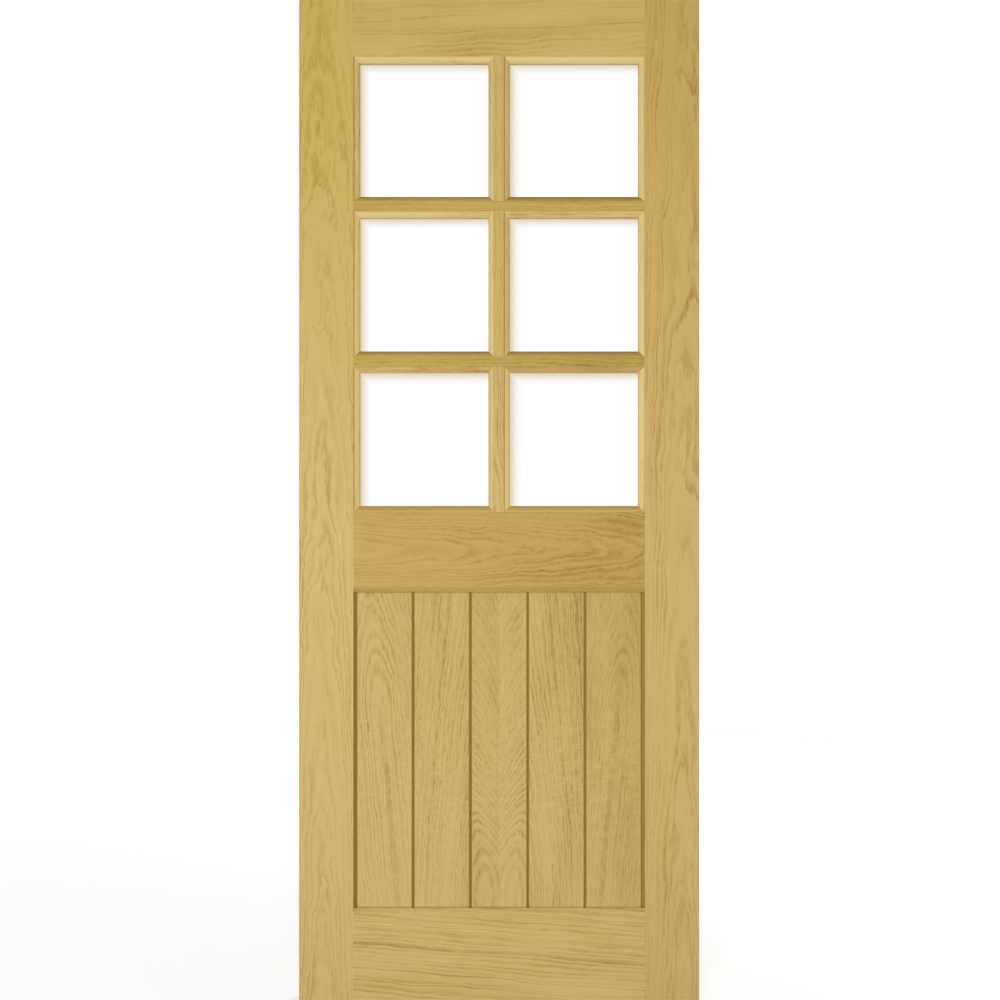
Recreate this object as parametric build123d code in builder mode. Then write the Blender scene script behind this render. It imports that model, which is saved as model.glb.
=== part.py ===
from build123d import *
import os

# A glazed oak interior door leaf: rows of clear panes over a panel grooved to look like planks.
# The origin is on the hinge edge, at the foot of the leaf and half way through its thickness.
# +X runs across the leaf to the lock edge, +Y to the back face and +Z up. Sizes are in millimetres.

# The leaf
leaf_width = 813.0
leaf_height = 2032.0
leaf_thickness = 35.0

# Stiles and rails
stile_width = 110.5
lipping_thickness = 8.0
lipping_arris = 1.5
top_rail_height = 113.5
lock_rail_base = 829.0
lock_rail_height = 162.5
bottom_rail_height = 185.0

# Glazing bars, the same section upright and across
pane_columns = 2
pane_rows = 3
bar_width = 19.0
bar_arris = 0.8

# Glazing beads: a rounded splay between the frame's face and the glass
bead_width = 12.2
bead_setback = 1.0
bead_land = 1.6
bead_toe = 3.0
bead_bulge = 0.9
bead_nose_radius = 0.7

# Panes: a thin flat margin under the beads, then a bevel up to the full thickness on the front
glass_edge_thickness = 4.0
glass_edge_clearance = 2.0
glass_bevel_width = 15.0
glass_bevel_rise = 2.0

# Lower panel: one veneered board, grooved on both faces, housed in the rails and tongued to the stiles
field_count = 5
panel_recess = 8.0
groove_width = 8.0
groove_slot_width = 2.6
groove_depth = 6.0
tongue_length = 6.0
tongue_tip_gap = 1.0
housing_depth = 10.0
lock_rail_bevel = 10.0
bottom_rail_bevel = 6.0
bevel_land = 1.0

# Places worked out from the sizes above
half_thickness = leaf_thickness / 2
opening_left = stile_width
opening_right = leaf_width - stile_width
opening_width = opening_right - opening_left
lock_rail_top = lock_rail_base + lock_rail_height
glazing_top = leaf_height - top_rail_height
middle_plane = Plane.YZ.offset(leaf_width / 2)

pane_width = (opening_width - (pane_columns - 1) * bar_width) / pane_columns
pane_height = (glazing_top - lock_rail_top - (pane_rows - 1) * bar_width) / pane_rows
column_pitch = pane_width + bar_width
row_pitch = pane_height + bar_width
column_centres = [opening_left + pane_width / 2 + n * column_pitch for n in range(pane_columns)]
row_centres = [glazing_top - pane_height / 2 - n * row_pitch for n in range(pane_rows)]
bead_depth = (leaf_thickness - glass_edge_thickness) / 2

panel_thickness = leaf_thickness - 2 * panel_recess
tongue_thickness = panel_thickness - 2 * groove_depth
field_pitch = (opening_width - groove_width) / field_count
field_width = field_pitch - groove_slot_width
field_chamfer = (groove_width - groove_slot_width) / 2
panel_base = bottom_rail_height - housing_depth
panel_length = lock_rail_base + housing_depth - panel_base
bevel_depth = panel_recess - bevel_land

os.makedirs("parts", exist_ok=True)


def save(piece, node):
    piece.part.label = node
    export_step(piece.part, f"parts/{node}.step")


# Stiles, with a plough along the lower panel for its tongues
with BuildPart() as left_stile:
    with BuildSketch(Plane.XY):
        with Locations((lipping_thickness, 0)):
            Rectangle(
                stile_width - lipping_thickness,
                leaf_thickness,
                align=(Align.MIN, Align.CENTER),
            )
    extrude(amount=leaf_height)
    with BuildSketch(Plane.XY.offset(panel_base)):
        with Locations((opening_left, 0)):
            Rectangle(
                tongue_length + tongue_tip_gap,
                tongue_thickness,
                align=(Align.MAX, Align.CENTER),
            )
    extrude(amount=panel_length, mode=Mode.SUBTRACT)
save(left_stile, "left_stile")

with BuildPart() as right_stile:
    mirror(left_stile.part, about=middle_plane)
save(right_stile, "right_stile")


# Solid oak lippings on the long edges, with their outer arrises eased
with BuildPart() as left_lipping:
    with BuildSketch(Plane.XY):
        Rectangle(lipping_thickness, leaf_thickness, align=(Align.MIN, Align.CENTER))
    extrude(amount=leaf_height)
    outer_edges = left_lipping.edges().filter_by(Axis.Z).group_by(Axis.X)[0]
    fillet(outer_edges, radius=lipping_arris)
save(left_lipping, "left_lipping")

with BuildPart() as right_lipping:
    mirror(left_lipping.part, about=middle_plane)
save(right_lipping, "right_lipping")


# Rails between the stiles. Those that meet the panel have a housing and a bevel on that edge
def rail_blank(base, height):
    with BuildPart() as blank:
        with BuildSketch(Plane.YZ.offset(opening_left)):
            with Locations((0, base)):
                Rectangle(leaf_thickness, height, align=(Align.CENTER, Align.MIN))
        extrude(amount=opening_width)
    return blank.part


def panel_edge_cut(edge, inward, bevel):
    with BuildPart() as cut:
        with BuildSketch(Plane.YZ.offset(opening_left)):
            with BuildLine():
                Polyline(
                    (-half_thickness, edge),
                    (-half_thickness, edge + inward * bevel),
                    (-half_thickness + bevel_depth, edge),
                    close=True,
                )
            make_face()
            mirror(about=Plane.YZ)
            with Locations((0, edge + inward * housing_depth / 2)):
                Rectangle(panel_thickness, housing_depth)
        extrude(amount=opening_width)
    return cut.part


with BuildPart() as top_rail:
    add(rail_blank(glazing_top, top_rail_height))
    fillet(top_rail.edges().filter_by(Axis.X).group_by(Axis.Z)[0], radius=bar_arris)
save(top_rail, "top_rail")

with BuildPart() as lock_rail:
    add(rail_blank(lock_rail_base, lock_rail_height))
    fillet(lock_rail.edges().filter_by(Axis.X).group_by(Axis.Z)[-1], radius=bar_arris)
    add(panel_edge_cut(lock_rail_base, 1, lock_rail_bevel), mode=Mode.SUBTRACT)
save(lock_rail, "lock_rail")

with BuildPart() as bottom_rail:
    add(rail_blank(0, bottom_rail_height))
    add(panel_edge_cut(bottom_rail_height, -1, bottom_rail_bevel), mode=Mode.SUBTRACT)
save(bottom_rail, "bottom_rail")


# Glazing bars: the horizontal ones run from stile to stile, the mullions stand between them
for n in range(pane_rows - 1):
    with BuildPart() as glazing_bar:
        add(rail_blank(row_centres[n] - pane_height / 2 - bar_width, bar_width))
        fillet(glazing_bar.edges().filter_by(Axis.X), radius=bar_arris)
    save(glazing_bar, f"glazing_bar_{n + 1}")

for n in range(pane_rows):
    with BuildPart() as mullion:
        with BuildSketch(Plane.XY.offset(row_centres[n] - pane_height / 2)):
            with Locations([(x + column_pitch / 2, 0) for x in column_centres[:-1]]):
                Rectangle(bar_width, leaf_thickness)
        extrude(amount=pane_height)
        fillet(mullion.edges().filter_by(Axis.Z), radius=bar_arris)
    save(mullion, f"mullion_row_{n + 1}")


# Panes, held between the front and back beads
glass_width = pane_width - 2 * glass_edge_clearance
glass_height = pane_height - 2 * glass_edge_clearance
sight_width = pane_width - 2 * bead_width
sight_height = pane_height - 2 * bead_width
margin_front = Plane.XZ.offset(glass_edge_thickness / 2)

with BuildPart() as pane:
    with BuildSketch(margin_front):
        Rectangle(glass_width, glass_height)
    extrude(amount=-glass_edge_thickness)
    with BuildSketch(margin_front):
        Rectangle(sight_width, sight_height)
    with BuildSketch(margin_front.offset(glass_bevel_rise)):
        Rectangle(sight_width - 2 * glass_bevel_width, sight_height - 2 * glass_bevel_width)
    loft()

for row, z in enumerate(row_centres):
    for column, x in enumerate(column_centres):
        with BuildPart() as glass:
            with Locations((x, 0, z)):
                add(pane.part)
        save(glass, f"glass_row_{row + 1}_column_{column + 1}")


# Glazing beads. A strip lies along X under its frame edge, with both ends mitred
def bead_strip(run):
    front = -half_thickness + bead_setback
    back = -half_thickness + bead_depth
    toe = back - bead_toe
    with BuildPart() as strip:
        with BuildSketch(Plane.YZ.offset(-run / 2)):
            with BuildLine():
                nose = Line((front, 0), (front, -bead_land))
                SagittaArc(nose @ 1, (toe, -bead_width), -bead_bulge)
                Polyline((toe, -bead_width), (back, -bead_width), (back, 0), (front, 0))
            make_face()
        extrude(amount=run)
        front_edges = strip.edges().filter_by(Axis.X).group_by(Axis.Y)[0]
        nose_edge = front_edges.sort_by(Axis.Z)[0]
        fillet(nose_edge, radius=bead_nose_radius)
        for end in (-1, 1):
            split(
                bisect_by=Plane(origin=(end * run / 2, 0, 0), z_dir=(end, 0, -1)),
                keep=Keep.BOTTOM,
            )
    return strip.part


cross_strip = bead_strip(pane_width)
upright_strip = bead_strip(pane_height)
bead_sides = {
    "head": (cross_strip, 0, pane_height / 2, 0),
    "sill": (cross_strip, 0, -pane_height / 2, 180),
    "left": (upright_strip, -pane_width / 2, 0, -90),
    "right": (upright_strip, pane_width / 2, 0, 90),
}

for side, (strip, dx, dz, turn) in bead_sides.items():
    places = [
        Location((x + dx, 0, z + dz), (0, turn, 0)) for z in row_centres for x in column_centres
    ]
    with BuildPart() as front_beads:
        with Locations(*places):
            add(strip)
    save(front_beads, f"front_{side}_beads")
    with BuildPart() as back_beads:
        mirror(front_beads.part, about=Plane.XZ)
    save(back_beads, f"back_{side}_beads")


# Lower panel: raised fields stand either side of a web, which runs on into the stiles as tongues
with BuildSketch() as field:
    Rectangle(field_width, panel_thickness)
    chamfer(field.vertices(), length=field_chamfer)

with BuildPart() as grooved_panel:
    with BuildSketch(Plane.XY.offset(panel_base)):
        with Locations((leaf_width / 2, 0)):
            Rectangle(opening_width + 2 * tongue_length, tongue_thickness)
            with GridLocations(field_pitch, 0, field_count, 1):
                add(field.sketch)
    extrude(amount=panel_length)
save(grooved_panel, "grooved_panel")
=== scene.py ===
import math

import bpy
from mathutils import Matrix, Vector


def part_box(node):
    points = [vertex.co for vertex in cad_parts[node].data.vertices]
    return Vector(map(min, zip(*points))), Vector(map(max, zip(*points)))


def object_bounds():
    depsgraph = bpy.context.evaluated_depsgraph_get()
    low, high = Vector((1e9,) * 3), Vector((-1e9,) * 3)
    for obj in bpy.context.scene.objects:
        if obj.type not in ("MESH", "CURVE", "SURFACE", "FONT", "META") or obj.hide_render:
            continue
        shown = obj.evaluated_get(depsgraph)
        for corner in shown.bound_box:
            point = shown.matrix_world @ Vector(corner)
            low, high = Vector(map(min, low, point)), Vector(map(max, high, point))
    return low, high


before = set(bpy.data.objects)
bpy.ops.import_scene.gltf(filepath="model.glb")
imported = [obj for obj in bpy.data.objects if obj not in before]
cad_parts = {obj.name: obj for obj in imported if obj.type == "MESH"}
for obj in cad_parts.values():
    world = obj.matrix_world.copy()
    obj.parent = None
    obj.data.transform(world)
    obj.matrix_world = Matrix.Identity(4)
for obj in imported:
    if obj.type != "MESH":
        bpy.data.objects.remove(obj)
cad_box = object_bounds()


# Stiles and lippings. A stile is a laminated core under thick crown-cut oak veneer, and a strip of solid
# oak is glued down its outer edge. Both are sanded flush and lacquered together, so no joint shows.
def linear(hex_colour):
    """Turns an sRGB hex colour into the linear colour that a shader takes."""
    channels = [int(hex_colour[start:start + 2], 16) / 255 for start in (1, 3, 5)]
    return [c / 12.92 if c <= 0.04045 else ((c + 0.055) / 1.055) ** 2.4 for c in channels] + [1.0]


def add(tree, kind, inputs=None, **settings):
    """Adds one node. Inputs are values or other nodes' sockets, settings are the node's own properties."""
    node = tree.nodes.new(kind)
    for name, value in settings.items():
        setattr(node, name, value)
    for socket, value in (inputs or {}).items():
        if isinstance(value, bpy.types.NodeSocket):
            tree.links.new(value, node.inputs[socket])
        else:
            node.inputs[socket].default_value = value
    return node


def lacquered_oak(name, tones, heart, lean, ring_mm, figure=0.15, fibre=0.10, cloud=0.13, rough=0.4,
                  fade=0.0, run=0.7):
    """Oak under clear satin lacquer, cut from a log whose heart passes through a point with a lean.

    The growth rings are cylinders round that heart, so a face that lies along it shows arched crown figure
    and a face that stands off to its side shows straight lines. Oak's large pores open in each ring's early
    wood as short dark dashes along the grain, which is what the eye takes for oak. Pores are about 0.3 mm
    wide on real oak and are drawn wider here, because they would not show from across a room.

    The tones are the darkest, the middle and the palest. Figure, fibre and cloud are the depths of the
    rings, of the fibres and of the clouds of tone, as shares of the way from the palest to the darkest.
    Rough says how far the fibres break the rings into dashes. Fade is how much deeper the tone grows in a
    metre across the leaf. Run is how far the marks are drawn out along the grain, 1 for straight boards.
    """
    dark, middle, light = tones
    material = bpy.data.materials.new(name)
    material.use_nodes = True
    tree = material.node_tree
    shader = tree.nodes["Principled BSDF"]

    # Front and back take leaves of the same veneer, so the pattern is folded about half the thickness.
    point = add(tree, "ShaderNodeTexCoord").outputs["Object"]
    folded = add(tree, "ShaderNodeVectorMath", {0: point}, name="folded", operation="ABSOLUTE").outputs[0]
    log = add(tree, "ShaderNodeMapping", {"Vector": folded, "Location": heart, "Rotation": lean},
              vector_type="TEXTURE").outputs[0]

    # The heart wanders as the tree did, which bends the rings and the fibres alike.
    wander_mm, wander_stretch, wander_reach_mm = 46, 5 * run, 10
    reach = 2 * wander_reach_mm / 1000
    trunk = add(tree, "ShaderNodeMapping", {"Vector": log, "Scale": (1, 1, 1 / wander_stretch)}).outputs[0]
    sway = add(tree, "ShaderNodeTexNoise", {"Vector": trunk, "Scale": 1000 / wander_mm, "Detail": 3.0,
                                            "Roughness": 0.55}).outputs["Color"]
    sway = add(tree, "ShaderNodeVectorMath", {0: sway, 1: (0.5, 0.5, 0.5)}, operation="SUBTRACT").outputs[0]
    wander = add(tree, "ShaderNodeVectorMath", {0: sway, 1: (reach, reach, 0)}, name="wander",
                 operation="MULTIPLY").outputs[0]
    bent = add(tree, "ShaderNodeVectorMath", {0: log, 1: wander}, operation="ADD").outputs[0]

    # Streaks of fibre and clouds of tone. The range that noise mostly keeps to is spread from 0 to 1.
    streak_mm, streak_stretch = 5.0, 9 * run
    cloud_mm, cloud_stretch = 40, 8
    noise_low, noise_high = 0.3, 0.7
    streak = add(tree, "ShaderNodeMapping", {"Vector": bent,
                                             "Scale": (1, 1, 1 / streak_stretch)}).outputs[0]
    streak = add(tree, "ShaderNodeTexNoise", {"Vector": streak, "Scale": 1000 / streak_mm,
                                              "Detail": 2.0}).outputs[0]
    streak = add(tree, "ShaderNodeMapRange", {"Value": streak, "From Min": noise_low,
                                              "From Max": noise_high}).outputs[0]
    haze = add(tree, "ShaderNodeMapping", {"Vector": bent,
                                           "Scale": (1, 1, 1 / cloud_stretch)}).outputs[0]
    haze = add(tree, "ShaderNodeTexNoise", {"Vector": haze, "Scale": 1000 / cloud_mm,
                                            "Detail": 2.0}).outputs[0]
    haze = add(tree, "ShaderNodeMapRange", {"Value": haze, "From Min": noise_low,
                                            "From Max": noise_high}).outputs[0]

    # Growth rings: the distance to the heart, counted in years. The fibres make a ring's edge ragged, and
    # the weather makes some years wide and some narrow.
    ragged_mm = 2.5 * rough
    weather_scale, weather_reach = 0.45, 2.2
    across = add(tree, "ShaderNodeVectorMath", {0: bent, 1: (1, 1, 0)}, operation="MULTIPLY").outputs[0]
    radius = add(tree, "ShaderNodeVectorMath", {0: across}, operation="LENGTH").outputs["Value"]
    count = add(tree, "ShaderNodeMath", {0: radius, 1: 1000 / ring_mm}, name="rings",
                operation="MULTIPLY").outputs[0]
    count = add(tree, "ShaderNodeMath", {0: streak, 1: ragged_mm / ring_mm, 2: count},
                operation="MULTIPLY_ADD").outputs[0]
    weather = add(tree, "ShaderNodeTexNoise", {"W": count, "Scale": weather_scale, "Detail": 1.0},
                  noise_dimensions="1D").outputs[0]
    count = add(tree, "ShaderNodeMath", {0: weather, 1: weather_reach, 2: count},
                operation="MULTIPLY_ADD").outputs[0]
    season = add(tree, "ShaderNodeMath", {0: count}, operation="FRACT").outputs[0]
    year = add(tree, "ShaderNodeMath", {0: count}, operation="FLOOR").outputs[0]

    # A year's early wood deepens through the spring and pales until the year's end. Some years are faint,
    # the fibres break a ring into dashes, and it is faint in patches too.
    spring_end, paling_start = 0.45, 0.25
    early_depth, late_depth = 1.35, -0.30
    faintest_year, faintest_patch = 0.45, 0.4
    breaking = 0.6 * rough
    spring = add(tree, "ShaderNodeMapRange", {"Value": season, "From Max": spring_end},
                 interpolation_type="SMOOTHSTEP").outputs[0]
    paling = add(tree, "ShaderNodeMapRange", {"Value": season, "From Min": 1.0, "From Max": paling_start,
                                              "To Max": early_depth},
                 interpolation_type="SMOOTHSTEP").outputs[0]
    early = add(tree, "ShaderNodeMath", {0: paling, 1: spring, 2: late_depth},
                operation="MULTIPLY_ADD").outputs[0]
    vigour = add(tree, "ShaderNodeTexWhiteNoise", {"W": year}, noise_dimensions="1D").outputs["Value"]
    vigour = add(tree, "ShaderNodeMath", {0: vigour, 1: 1 - faintest_year, 2: faintest_year},
                 operation="MULTIPLY_ADD").outputs[0]
    ring = add(tree, "ShaderNodeMath", {0: early, 1: vigour}, operation="MULTIPLY").outputs[0]
    broken = add(tree, "ShaderNodeMath", {0: streak, 1: breaking, 2: 1 - breaking},
                 operation="MULTIPLY_ADD").outputs[0]
    ring = add(tree, "ShaderNodeMath", {0: ring, 1: broken}, operation="MULTIPLY").outputs[0]
    patch = add(tree, "ShaderNodeMath", {0: haze, 1: 1 - faintest_patch, 2: faintest_patch}, name="patch",
                operation="MULTIPLY_ADD").outputs[0]
    ring = add(tree, "ShaderNodeMath", {0: ring, 1: patch}, name="ring", operation="MULTIPLY").outputs[0]

    # Pores, which crowd into the early wood.
    pore_mm, pore_stretch = 2.8, 9 * run
    pore_rim, pore_middle = 0.40, 0.78
    crowding, stray_pores = 1.2, 0.4
    pore = add(tree, "ShaderNodeMapping", {"Vector": bent, "Scale": (1, 1, 1 / pore_stretch)}).outputs[0]
    pore = add(tree, "ShaderNodeTexNoise", {"Vector": pore, "Scale": 1000 / pore_mm,
                                            "Detail": 1.0}).outputs[0]
    pore = add(tree, "ShaderNodeMapRange", {"Value": pore, "From Min": pore_rim, "From Max": pore_middle},
               interpolation_type="SMOOTHSTEP").outputs[0]
    crowd = add(tree, "ShaderNodeMath", {0: ring, 1: crowding, 2: stray_pores},
                operation="MULTIPLY_ADD").outputs[0]
    pore = add(tree, "ShaderNodeMath", {0: pore, 1: crowd}, operation="MULTIPLY").outputs[0]

    # Depth of tone: 0 is the palest late wood and 1 the darkest pore. The base takes off what each part
    # adds on average, so that a board keeps about its middle tone.
    mean_ring, mean_pore = 0.105, 0.18
    base = 0.5 - 0.5 * cloud - 0.5 * fibre - 2 * mean_ring * figure - 2 * mean_pore * fibre
    leaf_middle_x = (cad_box[0][0] + cad_box[1][0]) / 2
    from_hinge = add(tree, "ShaderNodeSeparateXYZ", {0: folded}).outputs["X"]
    depth = add(tree, "ShaderNodeMath", {0: from_hinge, 1: fade, 2: base - fade * leaf_middle_x},
                operation="MULTIPLY_ADD").outputs[0]
    for part, share in ((haze, cloud), (streak, fibre), (ring, 2 * figure)):
        depth = add(tree, "ShaderNodeMath", {0: part, 1: share, 2: depth},
                    operation="MULTIPLY_ADD").outputs[0]
    depth = add(tree, "ShaderNodeMath", {0: pore, 1: 2 * fibre, 2: depth}, name="depth",
                operation="MULTIPLY_ADD").outputs[0]
    ramp = add(tree, "ShaderNodeValToRGB", {"Fac": depth}, name="tone")
    ramp.color_ramp.elements[0].color = linear(light)
    ramp.color_ramp.elements[1].color = linear(dark)
    ramp.color_ramp.elements.new(0.5).color = linear(middle)
    tree.links.new(ramp.outputs["Color"], shader.inputs["Base Color"])

    # The lacquer lies thin over open pores: a little rougher and a hair lower there.
    pale_roughness, dark_roughness = 0.42, 0.58
    pore_hollow, hollow_strength = 0.0004, 0.25
    gloss = add(tree, "ShaderNodeMapRange", {"Value": depth, "To Min": pale_roughness,
                                             "To Max": dark_roughness}).outputs[0]
    tree.links.new(gloss, shader.inputs["Roughness"])
    hollows = add(tree, "ShaderNodeBump", {"Height": depth, "Strength": hollow_strength,
                                           "Distance": pore_hollow}, invert=True)
    tree.links.new(hollows.outputs[0], shader.inputs["Normal"])
    shader.inputs["IOR"].default_value = 1.5
    shader.inputs["Specular IOR Level"].default_value = 0.4
    return material


def dress(material, *names):
    """Gives CAD pieces their finish."""
    for name in names:
        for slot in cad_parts[name].material_slots:
            slot.material = material


left_stile_oak = lacquered_oak("crown_cut_oak_left", ("#b28e49", "#d8b974", "#e6cb8e"),
                               heart=(0.047, 0.072, 0.50), lean=(math.radians(-2.2), 0, 0), ring_mm=5.5,
                               figure=0.18, fibre=0.08, run=0.65)
right_stile_oak = lacquered_oak("crown_cut_oak_right", ("#aa8642", "#d0b069", "#dec284"),
                                heart=(0.783, 0.085, 0.90),
                                lean=(math.radians(-1.7), math.radians(0.4), 0), ring_mm=6.0,
                                figure=0.21, fibre=0.09, run=0.75)

# The stiles' colour turns a little deeper and yellower toward the head. A Mix node takes its two
# colours on sockets 6 and 7 and gives their mix on output 2, here and below.
tint_from, tint_to = 1.05, 1.80
for oak, head_tint in ((left_stile_oak, "#fbfad8"), (right_stile_oak, "#fffbe2")):
    tree = oak.node_tree
    height = add(tree, "ShaderNodeSeparateXYZ", {0: tree.nodes["folded"].outputs[0]}).outputs["Z"]
    headward = add(tree, "ShaderNodeMapRange", {"Value": height, "From Min": tint_from,
                                              "From Max": tint_to}).outputs[0]
    colour = add(tree, "ShaderNodeMix", {0: headward, 6: tree.nodes["tone"].outputs["Color"],
                                         7: linear(head_tint)},
                 data_type="RGBA", blend_type="MULTIPLY").outputs[2]
    tree.links.new(colour, tree.nodes["Principled BSDF"].inputs["Base Color"])
dress(left_stile_oak, "left_stile", "left_lipping")
dress(right_stile_oak, "right_stile", "right_lipping")


# Rails. Three veneered cross members between the stiles, with the grain running across the leaf. The lock
# rail's veneer is crown cut with its arches lying on their side; the other two are nearly straight-grained.
across_leaf = math.radians(90)
top_rail_oak = lacquered_oak("rift_cut_oak_top_rail", ("#b08c40", "#d6b664", "#e4c87e"),
                             heart=(0.40, 0.11, 1.80), lean=(0, across_leaf - math.radians(2.8), 0),
                             ring_mm=12.0, figure=0.12, fibre=0.08, cloud=0.30, fade=-0.15, run=0.4)
lock_rail_oak = lacquered_oak("crown_cut_oak_lock_rail", ("#a07a36", "#c4a256", "#d4b46c"),
                              heart=(0.40, 0.058, 0.915), lean=(math.radians(-4.0), across_leaf, 0),
                              ring_mm=7.0, figure=0.18, cloud=0.24, rough=0.5, fade=0.28, run=0.4)
bottom_rail_oak = lacquered_oak("rift_cut_oak_bottom_rail", ("#ac8844", "#d5b56e", "#e6c88a"),
                                heart=(0.40, 0.10, -0.08), lean=(0, across_leaf + math.radians(4.2), 0),
                                ring_mm=8.0, figure=0.28, fibre=0.085, cloud=0.18, run=0.85)
dress(top_rail_oak, "top_rail")
dress(lock_rail_oak, "lock_rail")
dress(bottom_rail_oak, "bottom_rail")


# Glazing bars. Two solid oak bars run from stile to stile and short mullions are dowelled in between them,
# all moulded to one section. The lowest mullion's grain runs out at a slant, so bold lines cross it.

# Bar: tones, width of a ring in mm, figure, fade.
bars = {
    1: (("#a07a2f", "#c7a551", "#d8ba6b"), 6.0, 0.28, -0.1),
    2: (("#9c7832", "#c3a354", "#d5b86e"), 5.0, 0.18, 0.3),
}
for number, (tones, ring_mm, figure, fade) in bars.items():
    bar_oak = lacquered_oak(f"straight_oak_bar_{number}", tones, heart=(0.40, 0.08, 1.12),
                            lean=(0, across_leaf + math.radians(0.6), 0), ring_mm=ring_mm, figure=figure,
                            fibre=0.12, cloud=0.24, fade=fade)
    dress(bar_oak, f"glazing_bar_{number}")

# Mullion: tones, place of the heart, lean in degrees, figure.
mullions = {
    1: (("#b08c44", "#d7b86c", "#e2c680"), (0.30, 0.09, 1.4), 0.5, 0.15),
    2: (("#ac883e", "#d4b468", "#e0c47e"), (0.30, 0.09, 1.4), 0.5, 0.15),
    3: (("#ac8846", "#d4b470", "#e2c688"), (0.385, 0.045, 1.1), -3.0, 0.34),
}
for number, (tones, heart, lean, figure) in mullions.items():
    mullion_oak = lacquered_oak(f"straight_oak_mullion_{number}", tones, heart=heart,
                                lean=(0, math.radians(lean), 0), ring_mm=5.0, figure=figure)
    dress(mullion_oak, f"mullion_row_{number}")


# Panes. Clear float glass with a bevelled margin on the front, polished all over. Along the head and the
# left side a warm painted shadow and reflection of the oak beside it tints the glass; it is clear
# elsewhere.
pane_low, pane_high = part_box("glass_row_1_column_1")
next_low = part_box("glass_row_2_column_2")[0]
column_pitch = next_low.x - pane_low.x
row_pitch = pane_low.z - next_low.z
hidden_margin, edge_shade_margin = 0.009, 0.022
edge_shade_falloff = 1.2
clear_tint, edge_shade_tint, shadow_tint = "#ffffff", "#d8c6a4", "#fafcfb"
glass = bpy.data.materials.new("clear_float_glass")
glass.use_nodes = True
tree = glass.node_tree
shader = tree.nodes["Principled BSDF"]
place = add(tree, "ShaderNodeSeparateXYZ", {0: add(tree, "ShaderNodeTexCoord").outputs["Object"]})
from_left = add(tree, "ShaderNodeMath", {0: place.outputs["X"], 1: pane_low.x},
                operation="SUBTRACT").outputs[0]
from_left = add(tree, "ShaderNodeMath", {0: from_left, 1: column_pitch},
                operation="FLOORED_MODULO").outputs[0]
below_head = add(tree, "ShaderNodeMath", {0: pane_high.z, 1: place.outputs["Z"]},
                 operation="SUBTRACT").outputs[0]
below_head = add(tree, "ShaderNodeMath", {0: below_head, 1: row_pitch},
                 operation="FLOORED_MODULO").outputs[0]
nearest = add(tree, "ShaderNodeMath", {0: from_left, 1: below_head}, operation="MINIMUM").outputs[0]
# Painted shadow and reflection: the warm tint is deepest at the bead and fades across the margin.
edge_shade = add(tree, "ShaderNodeMapRange", {"Value": nearest, "From Min": hidden_margin + edge_shade_margin,
                                          "From Max": hidden_margin}).outputs[0]
edge_shade = add(tree, "ShaderNodeMath", {0: edge_shade, 1: edge_shade_falloff}, operation="POWER").outputs[0]
tint = add(tree, "ShaderNodeMix", {0: edge_shade, 6: linear(clear_tint), 7: linear(edge_shade_tint)},
           data_type="RGBA").outputs[2]
tree.links.new(tint, shader.inputs["Base Color"])
shader.inputs["Transmission Weight"].default_value = 1.0
shader.inputs["Roughness"].default_value = 0.0
shader.inputs["IOR"].default_value = 1.5
# Light passes straight through to what the glass would shade, as it does through clear glass.
through = add(tree, "ShaderNodeBsdfTransparent", {"Color": linear(shadow_tint)})
shadow = add(tree, "ShaderNodeLightPath").outputs["Is Shadow Ray"]
clear = add(tree, "ShaderNodeMixShader", {0: shadow, 1: shader.outputs[0], 2: through.outputs[0]})
tree.links.new(clear.outputs[0], tree.nodes["Material Output"].inputs["Surface"])
for row in (1, 2, 3):
    dress(glass, f"glass_row_{row}_column_1", f"glass_row_{row}_column_2")


# Glazing beads. Thin strips of solid oak, mitred round each pane and pinned to the frame on both faces.
# Head and upright strips are painted pale and the sill strips dark, painted light as a lamp low in front
# would show them, and no two are quite alike. Painted shade darkens them beside the frame and at the toe by
# the glass, which draws a fine line there, and on the sill strips it reaches all the way down to the glass.
strip_difference = 0.15
toe_mm, quirk_mm, nose_mm = 5.0, 15.4, 16.4
bead_reach = 0.02
middle_row, lowest_row = -1.0, -2.0
bead_shade_colour = "#9c7430"
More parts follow.
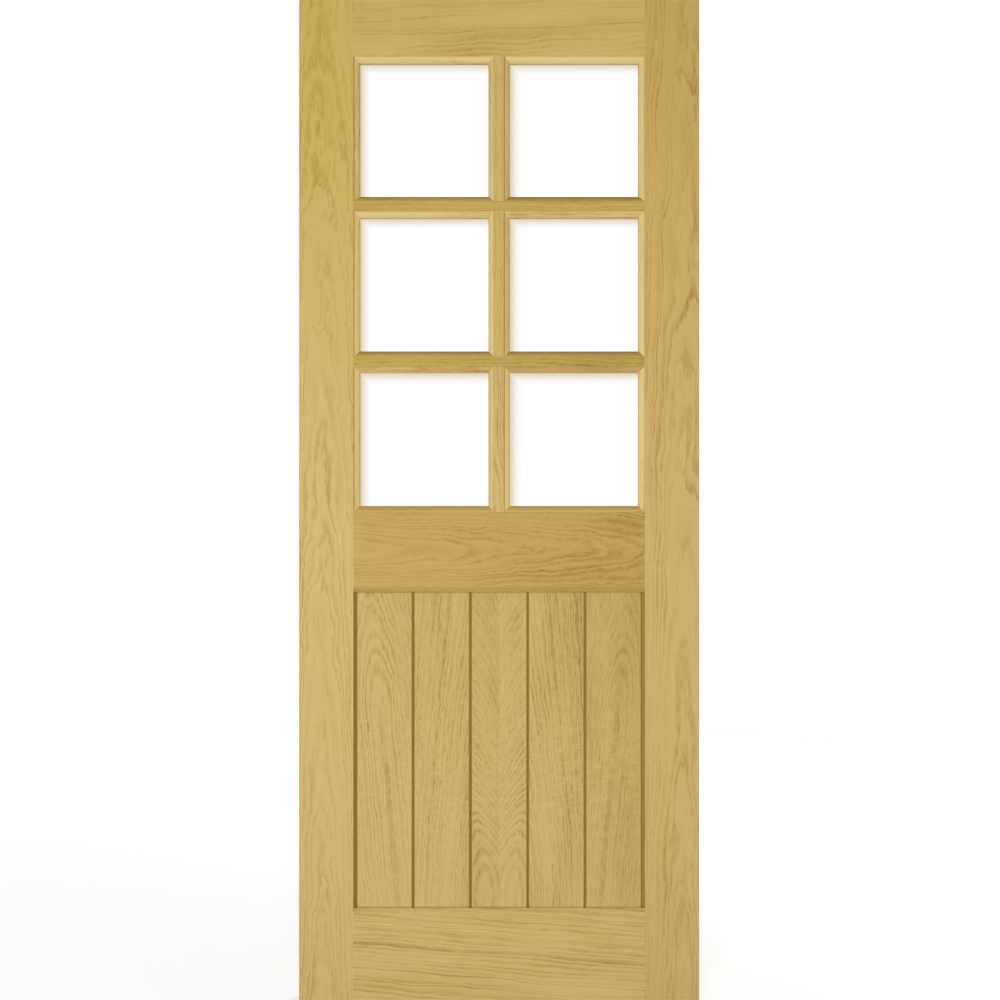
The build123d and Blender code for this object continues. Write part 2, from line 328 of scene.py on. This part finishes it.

# Side: tones, which hold painted light, direction of the grain, painted shade beside the frame, painted
# shade at the toe, distance in mm from the leaf's middle plane at which that ends, and how much deeper the
# lowest row's strips are painted.
bead_sides = {
    "head": (("#c29a50", "#ecd28b", "#f6e0a2"), across_leaf + math.radians(0.5), 0.35, 0.0, 7.0, 0.32),
    "sill": (("#a07a32", "#c6a450", "#d4b464"), across_leaf - math.radians(0.4), 0.0, 0.95, 16.0, -0.5),
    "left": (("#c29c4c", "#eecf80", "#f6de96"), math.radians(0.6), 0.75, 0.6, 6.4, -0.1),
    "right": (("#c29c54", "#f0d68f", "#f6e0a2"), math.radians(-0.5), 0.35, 0.5, 6.4, 0.1),
}
for batch, (side, traits) in enumerate(bead_sides.items()):
    tones, grain, quirk_shade_depth, toe_shade_depth, toe_end_mm, lowest_row_painted_light = traits
    bead_oak = lacquered_oak(f"oak_bead_{side}", tones, heart=(0.40, 0.06, 1.25), lean=(0, grain, 0),
                             ring_mm=5.5, cloud=0.3)
    tree = bead_oak.node_tree
    folded = tree.nodes["folded"].outputs[0]

    # Each strip keeps one depth of tone, drawn by lot from the pane that it belongs to. A pane's share of
    # the leaf starts a bead's reach outside its glass.
    first_corner = (pane_low.x - bead_reach, 0, pane_low.z - bead_reach)
    pane = add(tree, "ShaderNodeVectorMath", {0: folded, 1: first_corner}, operation="SUBTRACT").outputs[0]
    pane = add(tree, "ShaderNodeVectorMath", {0: pane, 1: (column_pitch, 1.0, row_pitch)},
               operation="DIVIDE").outputs[0]
    pane = add(tree, "ShaderNodeVectorMath", {0: pane}, operation="FLOOR").outputs[0]
    lot = add(tree, "ShaderNodeTexWhiteNoise", {"Vector": pane, "W": float(batch)},
              noise_dimensions="4D").outputs["Value"]
    lot = add(tree, "ShaderNodeMapRange", {"Value": lot, "To Min": -strip_difference / 2,
                                           "To Max": strip_difference / 2}).outputs[0]
    # Painted light: in the lowest row the head and right strips are deeper, the sill and left strips paler.
    row = add(tree, "ShaderNodeSeparateXYZ", {0: pane}).outputs["Z"]
    row_painted_light = add(tree, "ShaderNodeMapRange", {"Value": row, "From Min": middle_row, "From Max": lowest_row,
                                              "To Max": lowest_row_painted_light}).outputs[0]
    lot = add(tree, "ShaderNodeMath", {0: lot, 1: row_painted_light}, operation="ADD").outputs[0]
    depth = add(tree, "ShaderNodeMath", {0: tree.nodes["depth"].outputs[0], 1: lot},
                operation="ADD").outputs[0]
    tree.links.new(depth, tree.nodes["tone"].inputs["Fac"])

    # The painted shade lies by the distance out from the leaf's middle plane, and follows the lowest row's
    # painted light change.
    out = add(tree, "ShaderNodeSeparateXYZ", {0: folded}).outputs["Y"]
    toe_shade = add(tree, "ShaderNodeMapRange", {"Value": out, "From Min": toe_end_mm / 1000,
                                           "From Max": toe_mm / 1000, "To Max": toe_shade_depth}).outputs[0]
    toe_shade = add(tree, "ShaderNodeMath", {0: row_painted_light, 1: toe_shade, 2: toe_shade}, operation="MULTIPLY_ADD").outputs[0]
    quirk_shade = add(tree, "ShaderNodeMapRange", {"Value": out, "From Min": quirk_mm / 1000,
                                             "From Max": nose_mm / 1000, "To Max": quirk_shade_depth}).outputs[0]
    painted_shade_line = add(tree, "ShaderNodeMath", {0: toe_shade, 1: quirk_shade}, operation="MAXIMUM").outputs[0]
    # Painted shade: the bead colour is mixed toward a dark brown at the quirk and the toe.
    stained_and_shaded = add(tree, "ShaderNodeMix", {0: painted_shade_line, 6: tree.nodes["tone"].outputs["Color"],
                                          7: linear(bead_shade_colour)}, data_type="RGBA").outputs[2]
    tree.links.new(stained_and_shaded, tree.nodes["Principled BSDF"].inputs["Base Color"])
    dress(bead_oak, f"front_{side}_beads", f"back_{side}_beads")


# Lower panel. One board faced with two leaves of veneer, opened like a book and joined down the middle,
# then grooved through the veneer so that it reads as five planks. The grooves are dark with stain and
# lacquer. Its fibres run straight up, and the arches below take the place of a log's rings.
panel_oak = lacquered_oak("bookmatched_oak_panel", ("#9e7a38", "#cdad67", "#e3c587"), heart=(0, 0, 0),
                          lean=(0, 0, 0), ring_mm=6.0, figure=0.20, fibre=0.11, cloud=0.15, rough=0.5,
                          fade=0.70, run=0.55)
tree = panel_oak.node_tree
folded = tree.nodes["folded"].outputs[0]
place = add(tree, "ShaderNodeSeparateXYZ", {0: folded})
height = place.outputs["Z"]
panel_low, panel_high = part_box("grooved_panel")
seam = (panel_low.x + panel_high.x) / 2
from_seam = add(tree, "ShaderNodeMath", {0: place.outputs["X"], 1: seam}, operation="SUBTRACT").outputs[0]
off_seam = add(tree, "ShaderNodeMath", {0: from_seam}, operation="ABSOLUTE").outputs[0]

# The lines wander with the fibres, a little less than they do, and ripple.
sway_share = 0.7
ripple_mm, ripple_stretch, ripple_reach_mm = 13, 3, 4
sway = add(tree, "ShaderNodeSeparateXYZ", {0: tree.nodes["wander"].outputs[0]}).outputs["X"]
swayed = add(tree, "ShaderNodeMath", {0: sway, 1: sway_share, 2: off_seam},
             operation="MULTIPLY_ADD").outputs[0]
ripple = add(tree, "ShaderNodeMapping", {"Vector": folded, "Scale": (1, 1, 1 / ripple_stretch)}).outputs[0]
ripple = add(tree, "ShaderNodeTexNoise", {"Vector": ripple, "Scale": 1000 / ripple_mm,
                                          "Detail": 1.0}).outputs[0]
ripple = add(tree, "ShaderNodeMapRange", {"Value": ripple, "To Min": -ripple_reach_mm / 1000,
                                          "To Max": ripple_reach_mm / 1000}).outputs[0]
swayed = add(tree, "ShaderNodeMath", {0: swayed, 1: ripple}, operation="ADD").outputs[0]


def arches(centre, foot, lead, nose_radius, power=2.0):
    """A squared length whose level lines are arches of one shape about a centre, straight below the foot.

    The lead keeps the lowest arches from crowding. A power below 2 makes the arches pointed, without a
    change in their height 30 mm from the centre.
    """
    same_height_off = 0.030
    foot_rounding = 0.10
    above = add(tree, "ShaderNodeMath", {0: height, 1: foot}, operation="SUBTRACT").outputs[0]
    above = add(tree, "ShaderNodeMath", {0: above, 1: 0.0, 2: foot_rounding},
                operation="SMOOTH_MAX").outputs[0]
    above = add(tree, "ShaderNodeMath", {0: above, 1: lead}, operation="ADD").outputs[0]
    off = add(tree, "ShaderNodeMath", {0: swayed, 1: centre}, operation="SUBTRACT").outputs[0]
    off = add(tree, "ShaderNodeMath", {0: off}, operation="ABSOLUTE").outputs[0]
    off = add(tree, "ShaderNodeMath", {0: off, 1: power}, operation="POWER").outputs[0]
    off = add(tree, "ShaderNodeMath", {0: off, 1: same_height_off ** (2 - power)},
              operation="MULTIPLY").outputs[0]
    return add(tree, "ShaderNodeMath", {0: above, 1: 2 * nose_radius, 2: off},
               operation="MULTIPLY_ADD").outputs[0]


# Double arches meet in a V at the seam, and they spread as they rise. Their squared length is divided by
# one even radius, in place of a root, so that they stay evenly spaced up the seam.
even_radius = 0.038
spread_from, spread_to = 0.29, 0.46
narrow_spread, wide_spread = 0.031, 0.064
spread = add(tree, "ShaderNodeMapRange", {"Value": height, "From Min": spread_from, "From Max": spread_to,
                                          "To Min": narrow_spread, "To Max": wide_spread}).outputs[0]
at_seam = arches(centre=spread, foot=0.270, lead=0.0, nose_radius=0.013, power=1.5)
at_seam = add(tree, "ShaderNodeMath", {0: at_seam, 1: 0.5 / even_radius}, operation="MULTIPLY").outputs[0]

# Steep lines run beside them, a hair wider apart, and narrow leaning arches stand near the edge.
beside_share = 0.95
edge_lean, edge_at_foot = 0.09, 0.188
beside = arches(centre=0.0, foot=0.250, lead=0.04, nose_radius=0.011)
beside = add(tree, "ShaderNodeMath", {0: beside}, operation="SQRT").outputs[0]
beside = add(tree, "ShaderNodeMath", {0: beside, 1: beside_share}, operation="MULTIPLY").outputs[0]
leaning = add(tree, "ShaderNodeMath", {0: height, 1: edge_lean, 2: edge_at_foot},
              operation="MULTIPLY_ADD").outputs[0]
at_edge = arches(centre=leaning, foot=0.640, lead=0.015, nose_radius=0.006)
at_edge = add(tree, "ShaderNodeMath", {0: at_edge}, operation="SQRT").outputs[0]

# One kind of line changes to the next in a groove. A Mix node takes its two numbers on sockets 2 and 3.
field_count = 5
groove_width = 0.008
stile_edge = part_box("lock_rail")[0].x
field_pitch = (2 * (seam - stile_edge) - groove_width) / field_count
past_first = add(tree, "ShaderNodeMath", {0: off_seam, 1: field_pitch / 2},
                 operation="GREATER_THAN").outputs[0]
past_second = add(tree, "ShaderNodeMath", {0: off_seam, 1: field_pitch * 3 / 2},
                  operation="GREATER_THAN").outputs[0]
lines = add(tree, "ShaderNodeMix", {0: past_first, 2: at_seam, 3: beside}).outputs[0]
lines = add(tree, "ShaderNodeMix", {0: past_second, 2: lines, 3: at_edge}).outputs[0]
tree.links.new(lines, tree.nodes["rings"].inputs[0])

# The lines at the seam are bold half way up and faint at the head and foot. Beside it they are boldest at
# the foot, and near the lock edge they are fainter than near the hinge edge.
foot_from, foot_to, foot_bold, seam_bold = 0.25, 0.38, 0.6, 1.08
head_from, head_to, head_share = 0.48, 0.66, 0.62
beside_from, beside_to, beside_foot_bold, beside_head_bold = 0.20, 0.80, 1.25, 0.95
hinge_bold, lock_bold = 1.05, 0.5
bold_at_seam = add(tree, "ShaderNodeMapRange", {"Value": height, "From Min": foot_from, "From Max": foot_to,
                                                "To Min": foot_bold, "To Max": seam_bold}).outputs[0]
toward_head = add(tree, "ShaderNodeMapRange", {"Value": height, "From Min": head_from, "From Max": head_to,
                                               "To Min": 1.0, "To Max": head_share}).outputs[0]
bold_at_seam = add(tree, "ShaderNodeMath", {0: bold_at_seam, 1: toward_head},
                   operation="MULTIPLY").outputs[0]
bold_beside = add(tree, "ShaderNodeMapRange", {"Value": height, "From Min": beside_from,
                                               "From Max": beside_to, "To Min": beside_foot_bold,
                                               "To Max": beside_head_bold}).outputs[0]
bold_at_edge = add(tree, "ShaderNodeMapRange", {"Value": place.outputs["X"], "From Min": panel_low.x,
                                                "From Max": panel_high.x, "To Min": hinge_bold,
                                                "To Max": lock_bold}).outputs[0]
bold = add(tree, "ShaderNodeMix", {0: past_first, 2: bold_at_seam, 3: bold_beside}).outputs[0]
bold = add(tree, "ShaderNodeMix", {0: past_second, 2: bold, 3: bold_at_edge}).outputs[0]
bold = add(tree, "ShaderNodeMath", {0: bold, 1: tree.nodes["patch"].outputs[0]},
           operation="MULTIPLY").outputs[0]
tree.links.new(bold, tree.nodes["ring"].inputs[1])

# Rays of the tree, cut almost along their length, show as short pale flecks across the grain. They lie in
# a band just below the board's middle.
fleck_length, fleck_height, fleck_paleness = 0.016, 0.0042, -0.14
fleck_rim, fleck_middle = 0.5, 0.75
band_height, band_full, band_end = 0.45, 0.05, 0.18
fleck = add(tree, "ShaderNodeMapping", {"Vector": folded, "Scale": (1 / fleck_length, 1 / fleck_length,
                                                                    1 / fleck_height)}).outputs[0]
fleck = add(tree, "ShaderNodeTexNoise", {"Vector": fleck, "Scale": 1.0, "Detail": 1.0}).outputs[0]
fleck = add(tree, "ShaderNodeMapRange", {"Value": fleck, "From Min": fleck_rim, "From Max": fleck_middle,
                                         "To Max": fleck_paleness}).outputs[0]
band = add(tree, "ShaderNodeMath", {0: height, 1: band_height}, operation="SUBTRACT").outputs[0]
band = add(tree, "ShaderNodeMath", {0: band}, operation="ABSOLUTE").outputs[0]
band = add(tree, "ShaderNodeMapRange", {"Value": band, "From Min": band_end,
                                        "From Max": band_full}).outputs[0]
fleck = add(tree, "ShaderNodeMath", {0: fleck, 1: band}, operation="MULTIPLY").outputs[0]
depth = add(tree, "ShaderNodeMath", {0: tree.nodes["depth"].outputs[0], 1: fleck},
            operation="ADD").outputs[0]

# The board deepens in tone toward its head. The leaves show opposite faces of the veneer, and the right
# one takes less stain.
deepening, even_height = 0.27, 0.55
leaf_difference = -0.12
deeper = add(tree, "ShaderNodeMath", {0: height, 1: deepening, 2: -deepening * even_height},
             operation="MULTIPLY_ADD").outputs[0]
depth = add(tree, "ShaderNodeMath", {0: depth, 1: deeper}, operation="ADD").outputs[0]
right_leaf = add(tree, "ShaderNodeMath", {0: from_seam, 1: 0.0}, operation="GREATER_THAN").outputs[0]
depth = add(tree, "ShaderNodeMath", {0: right_leaf, 1: leaf_difference, 2: depth},
            operation="MULTIPLY_ADD").outputs[0]
depth = add(tree, "ShaderNodeMath", {0: depth, 1: leaf_difference / 2}, operation="SUBTRACT").outputs[0]

# A pale line is painted along the planks' long arrises: a painted highlight.
arris_highlight_width, arris_highlight_paleness = 0.0025, -0.16
in_plank = add(tree, "ShaderNodeMath", {0: off_seam, 1: field_pitch}, operation="DIVIDE").outputs[0]
in_plank = add(tree, "ShaderNodeMath", {0: in_plank}, operation="FRACT").outputs[0]
from_groove = add(tree, "ShaderNodeMath", {0: in_plank, 1: 0.5}, operation="SUBTRACT").outputs[0]
from_groove = add(tree, "ShaderNodeMath", {0: from_groove}, operation="ABSOLUTE").outputs[0]
arris_highlight = add(tree, "ShaderNodeMapRange", {"Value": from_groove,
                                          "From Min": (groove_width / 2 + arris_highlight_width) / field_pitch,
                                          "From Max": groove_width / 2 / field_pitch,
                                          "To Max": arris_highlight_paleness}).outputs[0]
depth = add(tree, "ShaderNodeMath", {0: depth, 1: arris_highlight}, operation="ADD").outputs[0]
tree.links.new(depth, tree.nodes["tone"].inputs["Fac"])

# The planks' faces stand at half the panel's thickness, and the grooves' stain darkens from just below
# them.
# A band of painted shade darkens the board where it goes into the rails, and the stain and shade are paler
# toward the lock edge.
plank_face = (panel_high.y - panel_low.y) / 2
stain_start, stain_full = 0.0002, 0.0020
joint_shade_reach = 0.004
hinge_stain_and_shade, lock_stain_and_shade = "#a07c32", "#ae8a44"
lock_rail_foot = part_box("lock_rail")[0].z
bottom_rail_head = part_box("bottom_rail")[1].z
in_groove = add(tree, "ShaderNodeMapRange", {"Value": place.outputs["Y"],
                                             "From Min": plank_face - stain_start,
                                             "From Max": plank_face - stain_full}).outputs[0]
# Painted shade under the lock rail and above the bottom rail.
head_joint_shade = add(tree, "ShaderNodeMapRange", {"Value": height, "From Min": lock_rail_foot - joint_shade_reach,
                                           "From Max": lock_rail_foot}).outputs[0]
foot_joint_shade = add(tree, "ShaderNodeMapRange", {"Value": height, "From Min": bottom_rail_head + joint_shade_reach,
                                           "From Max": bottom_rail_head}).outputs[0]
stain_and_shade = add(tree, "ShaderNodeMath", {0: in_groove, 1: head_joint_shade}, operation="MAXIMUM").outputs[0]
stain_and_shade = add(tree, "ShaderNodeMath", {0: stain_and_shade, 1: foot_joint_shade}, operation="MAXIMUM").outputs[0]
along = add(tree, "ShaderNodeMapRange", {"Value": place.outputs["X"], "From Min": panel_low.x,
                                         "From Max": panel_high.x}).outputs[0]
stain_and_shade_colour = add(tree, "ShaderNodeMix", {0: along, 6: linear(hinge_stain_and_shade), 7: linear(lock_stain_and_shade)},
                   data_type="RGBA").outputs[2]
stained_and_shaded = add(tree, "ShaderNodeMix", {0: stain_and_shade, 6: tree.nodes["tone"].outputs["Color"], 7: stain_and_shade_colour},
              data_type="RGBA").outputs[2]
tree.links.new(stained_and_shaded, tree.nodes["Principled BSDF"].inputs["Base Color"])
dress(panel_oak, "grooved_panel")


# Floor. A plain matt white studio floor that the leaf stands on. It shines white to the camera, more so
# away from the leaf, and keeps the leaf's shadow.
def looked_at(tree):
    """1 where the camera, a reflection or the glass looks at a surface, 0 for light that falls from it."""
    rays = add(tree, "ShaderNodeLightPath")
    seen = add(tree, "ShaderNodeMath", {0: rays.outputs["Is Camera Ray"], 1: rays.outputs["Is Glossy Ray"]},
               operation="MAXIMUM").outputs[0]
    return add(tree, "ShaderNodeMath", {0: seen, 1: rays.outputs["Is Transmission Ray"]},
               operation="MAXIMUM").outputs[0]


floor_half = 60.0
glow_near, glow_far = 0.5, 3.5
near_strength, far_strength = 0.58, 0.82
floor_mesh = bpy.data.meshes.new("studio_floor")
corners = [(-floor_half, -floor_half, 0), (floor_half, -floor_half, 0),
           (floor_half, floor_half, 0), (-floor_half, floor_half, 0)]
floor_mesh.from_pydata(corners, [], [(0, 1, 2, 3)])
floor = bpy.data.objects.new("studio_floor", floor_mesh)
bpy.context.collection.objects.link(floor)
floor_white = bpy.data.materials.new("matt_white_floor")
floor_white.use_nodes = True
tree = floor_white.node_tree
matt = add(tree, "ShaderNodeBsdfDiffuse", {"Color": linear("#c8c8c8")})
ground = add(tree, "ShaderNodeTexCoord").outputs["Object"]
away = add(tree, "ShaderNodeVectorMath", {0: ground, 1: (cad_box[1][0] / 2, 0, 0)},
           operation="DISTANCE").outputs["Value"]
shine = add(tree, "ShaderNodeMapRange", {"Value": away, "From Min": glow_near, "From Max": glow_far,
                                         "To Min": near_strength, "To Max": far_strength}).outputs[0]
shine = add(tree, "ShaderNodeEmission", {"Color": linear("#ffffff"), "Strength": shine})
no_shine = add(tree, "ShaderNodeBsdfTransparent", {"Color": linear("#000000")})
glow = add(tree, "ShaderNodeMixShader", {0: looked_at(tree), 1: no_shine.outputs[0], 2: shine.outputs[0]})
lit = add(tree, "ShaderNodeAddShader", {0: matt.outputs[0], 1: glow.outputs[0]})
tree.links.new(lit.outputs[0], tree.nodes["Material Output"].inputs["Surface"])
floor_mesh.materials.append(floor_white)


# Light. A soft box at mid height to the left of the camera, another behind for the back of the leaf, and
# an even fill from the room. The room is white wherever the camera, a reflection or the glass looks at it.
def soft_box(name, place, target, size, power):
    """A square lamp that faces a target and shows neither in reflections nor through the glass."""
    lamp = bpy.data.lights.new(name, "AREA")
    lamp.shape = "SQUARE"
    lamp.size = size
    lamp.energy = power
    holder = bpy.data.objects.new(name, lamp)
    bpy.context.collection.objects.link(holder)
    holder.location = place
    holder.visible_glossy = False
    holder.visible_transmission = False
    aim = [t - p for t, p in zip(target, place)]
    holder.rotation_euler = (math.atan2(math.hypot(aim[0], aim[1]), -aim[2]), 0,
                             math.atan2(aim[1], aim[0]) - math.pi / 2)


leaf_middle = ((cad_box[0][0] + cad_box[1][0]) / 2, 0, (cad_box[0][2] + cad_box[1][2]) / 2)
soft_box("key_soft_box", place=(0.15, -2.8, 1.05), target=leaf_middle, size=1.2, power=48.5)
soft_box("back_soft_box", place=(1.7, 2.5, 1.5), target=leaf_middle, size=1.4, power=46)

room = bpy.data.worlds.new("white_room")
bpy.context.scene.world = room
room.use_nodes = True
tree = room.node_tree
fill_strength, white_strength = 0.33, 1.0
strength = add(tree, "ShaderNodeMapRange", {"Value": looked_at(tree), "To Min": fill_strength,
                                            "To Max": white_strength}).outputs[0]
background = tree.nodes["Background"]
background.inputs["Color"].default_value = linear("#ffffff")
tree.links.new(strength, background.inputs["Strength"])


# Camera. It faces the leaf squarely at half its height, and the leaf's face fills the picture from top to
# foot and runs a hair past it. The leaf stands a little left of the picture's middle.
camera_distance = 2.6
picture_offset = 0.0018
picture_overlap = 0.0012
leaf_height = cad_box[1][2] - cad_box[0][2]
lens = bpy.data.cameras.new("camera")
lens.sensor_width = 36
lens.lens = lens.sensor_width * camera_distance / (leaf_height - picture_overlap)
camera = bpy.data.objects.new("camera", lens)
bpy.context.collection.objects.link(camera)
camera.location = (leaf_middle[0] + picture_offset, cad_box[0][1] - camera_distance, leaf_middle[2])
camera.rotation_euler = (math.radians(90), 0, 0)
bpy.context.scene.camera = camera

bpy.context.scene.view_settings.view_transform = "Standard"
